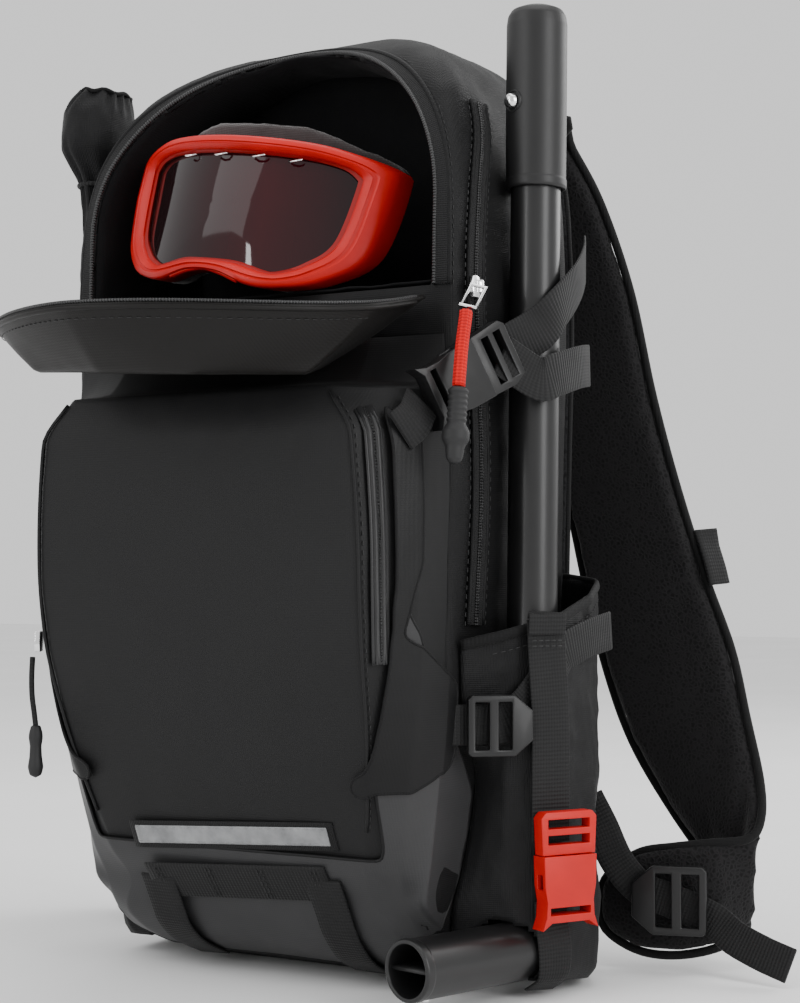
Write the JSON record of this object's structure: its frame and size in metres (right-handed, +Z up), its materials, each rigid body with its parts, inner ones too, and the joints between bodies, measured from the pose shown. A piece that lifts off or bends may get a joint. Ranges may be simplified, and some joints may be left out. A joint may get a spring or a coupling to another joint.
{
  "type": "avalanche airbag backpack",
  "caption": "Ski pack that stands on its base with the goggle flap open, a telescopic shovel handle on the side, compression straps and padded shoulder straps.",
  "frame": {"origin": "centre of the flat base that the pack stands on", "axes": "+Z up; +Y towards the wearer (back panel and shoulder straps), -Y the front of the pack; +X the side that carries the shovel handle"},
  "size_m": [0.5047, 0.3939, 0.5491],
  "materials": {
    "shell": "woven nylon, black",
    "coated": "laminated matt fabric, charcoal",
    "boot": "tarpaulin-coated fabric, smooth grey",
    "lining": "black tricot lining",
    "mesh": "black spacer mesh over foam",
    "pad": "moulded foam under black fabric",
    "foam": "soft open-cell foam with fleece face",
    "flap": "thermoformed fabric, semi-matt black",
    "webbing": "ribbed polyester webbing, black",
    "zip": "coated zip tape with coil",
    "reflective": "retro-reflective grey film",
    "red_cord": "braided cord, orange-red",
    "airbag": "folded coated nylon, orange",
    "red_plastic": "moulded nylon, orange-red",
    "plastic": "moulded acetal, black",
    "rubber": "over-moulded rubber, dark grey",
    "chrome": "plated zinc",
    "shaft": "anodised aluminium, black satin",
    "lens": "mirror-tinted polycarbonate, dark rose",
    "steel": "steel gas cylinder",
    "stay_sheet": "polyethylene stiffener"
  },
  "bodies": {
    "pack": {"main_shell": "shell", "goggle_pocket": "lining", "frame_sheet": "stay_sheet", "back_panel": "mesh", "back_pad_right": "pad", "back_pad_left": "pad", "lumbar_pad": "pad", "front_pocket_shell": "coated", "base_boot": "boot", "wing_right": "coated", "wing_left": "coated", "front_zip_right": "zip", "front_zip_left": "zip", "reflective_strip": "reflective", "haul_webbing": "webbing", "tool_zip": "zip", "goggle_zip": "zip", "side_pocket_right": "shell", "side_pocket_left": "shell", "cinch_sleeve_left": "shell", "shaft_tube": "shaft", "t_grip": "shaft", "upper_buckle_female": "plastic", "upper_anchor_webbing": "webbing", "upper_strap_webbing": "webbing", "lower_strap_webbing": "webbing", "red_buckle_female": "red_plastic", "pocket_strap": "webbing", "pocket_strap_lower": "webbing", "shoulder_strap_right": "mesh", "shoulder_strap_left": "mesh", "foot_webbing_right": "webbing", "foot_webbing_left": "webbing", "sternum_loop_right": "webbing", "sternum_loop_left": "webbing", "grab_handle": "webbing", "gas_cylinder": "steel", "inflator_head": "plastic", "folded_airbag": "airbag", "trigger_cable": "plastic"},
    "flap": {"goggle_flap": "flap"},
    "goggles": {"goggle_frame": "red_plastic", "goggle_lens": "lens", "goggle_foam": "foam", "goggle_strap": "webbing"},
    "shovel_sleeve": {"shaft_sleeve": "shaft"},
    "button": {"snap_button": "chrome"},
    "tool_slider": {"tool_zip_slider": "chrome"},
    "tool_pull": {"tool_pull_loop": "chrome", "tool_pull_cord": "red_cord", "tool_pull_grip": "rubber"},
    "upper_buckle_half": {"upper_buckle_male": "plastic", "upper_strap_tail": "webbing"},
    "red_buckle_half": {"red_buckle_male": "red_plastic"},
    "side_lock": {"side_ladder_lock": "plastic"},
    "foot_lock_right": {"foot_ladder_lock_right": "plastic"},
    "foot_lock_left": {"foot_ladder_lock_left": "plastic"},
    "front_slider": {"front_zip_slider": "chrome"},
    "front_pull": {"front_zip_pull": "rubber"},
    "trigger": {"trigger_handle": "red_plastic"}
  },
  "joints": [
    {"name": "flap_hinge", "type": "hinge", "parent": "pack", "child": "flap", "pos_m": [0, -0.0985, 0.379], "axis": [-1, 0, 0], "range_deg": [0, 103]},
    {"name": "goggle_push", "type": "slide", "parent": "pack", "child": "goggles", "axis": [0, 1, 0], "range_m": [0, 0.024]},
    {"name": "shovel_extend", "type": "slide", "parent": "pack", "child": "shovel_sleeve", "axis": [0, 0.0225, 0.9997], "range_m": [0, 0.06]},
    {"name": "snap_button_press", "type": "slide", "parent": "shovel_sleeve", "child": "button", "axis": [-0.3697, -0.9292, 0], "range_m": [-0.0025, 0], "stiffness_N_per_m": 300},
    {"name": "tool_zip_slide", "type": "slide", "parent": "pack", "child": "tool_slider", "axis": [-0.0347, 0.1191, 0.9923], "range_m": [0, 0.06]},
    {"name": "tool_pull_swing", "type": "hinge", "parent": "tool_slider", "child": "tool_pull", "pos_m": [0.1442, -0.0885, 0.384], "axis": [-1, 0, 0], "range_deg": [0, 60]},
    {"name": "upper_buckle_release", "type": "slide", "parent": "pack", "child": "upper_buckle_half", "axis": [0.4016, 0.7753, 0.4875], "range_m": [0, 0.025]},
    {"name": "red_buckle_release", "type": "slide", "parent": "pack", "child": "red_buckle_half", "axis": [0, 0, 1], "range_m": [0, 0.025]},
    {"name": "side_lock_tilt", "type": "hinge", "parent": "pack", "child": "side_lock", "pos_m": [0.13501, -0.08556, 0.1485], "axis": [0, 0, -1], "range_deg": [0, 25]},
    {"name": "foot_lock_right_tilt", "type": "hinge", "parent": "pack", "child": "foot_lock_right", "pos_m": [0.20953, 0.0587, 0.042], "axis": [0, 0, 1], "range_deg": [0, 25]},
    {"name": "foot_lock_left_tilt", "type": "hinge", "parent": "pack", "child": "foot_lock_left", "pos_m": [-0.2174, 0.05178, 0.042], "axis": [0, 0, -1], "range_deg": [0, 25]},
    {"name": "front_zip_slide", "type": "slide", "parent": "pack", "child": "front_slider", "axis": [0.006, -0.0529, 0.9986], "range_m": [0, 0.1]},
    {"name": "front_pull_swing", "type": "hinge", "parent": "front_slider", "child": "front_pull", "pos_m": [-0.122, -0.144, 0.182], "axis": [-0.4711, 0.8821, 0], "range_deg": [0, 60]},
    {"name": "trigger_pull", "type": "slide", "parent": "pack", "child": "trigger", "axis": [-0.2402, 0.0601, -0.9689], "range_m": [0, 0.04]}
  ],
  "couplings": [
    {"joint": "goggle_push", "follows": "flap_hinge", "m_per_rad": 0.0133}
  ]
}
